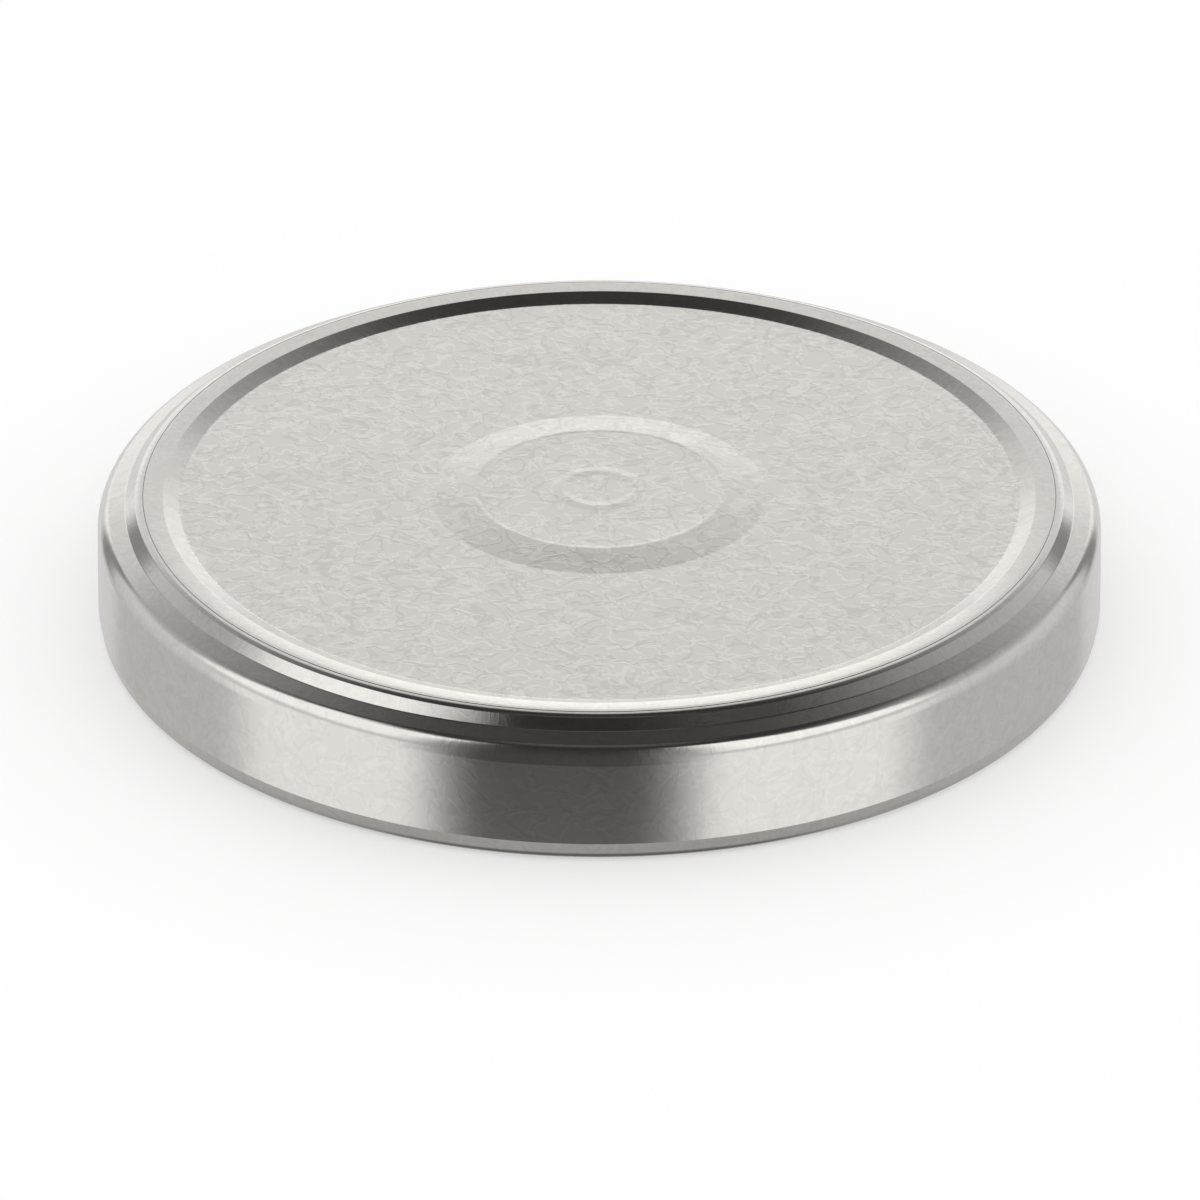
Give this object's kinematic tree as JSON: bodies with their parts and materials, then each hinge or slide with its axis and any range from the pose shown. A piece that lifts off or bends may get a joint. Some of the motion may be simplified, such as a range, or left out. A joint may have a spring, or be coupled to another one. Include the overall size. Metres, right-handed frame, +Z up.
{
  "type": "twist-off lid",
  "caption": "Bare pressed metal lug lid for a glass jar, with a raised safety button, a raised rim, a rolled curl with inward lugs and a flowed-in sealing ring.",
  "frame": {"origin": "on the axis, in the plane that the curl at the foot of the skirt rests on", "axes": "+Z up along the axis, out of the panel; the four lugs lie on +X, -X, +Y and -Y"},
  "size_m": [0.0732, 0.0732, 0.0101],
  "materials": {
    "tinplate": "satin, fine grain on the panel, brighter on the pressed steps and the skirt",
    "compound": "matte, pale sealing compound"
  },
  "bodies": {
    "root": {"lid_shell": "tinplate", "sealing_ring": "compound"}
  },
  "joints": []
}
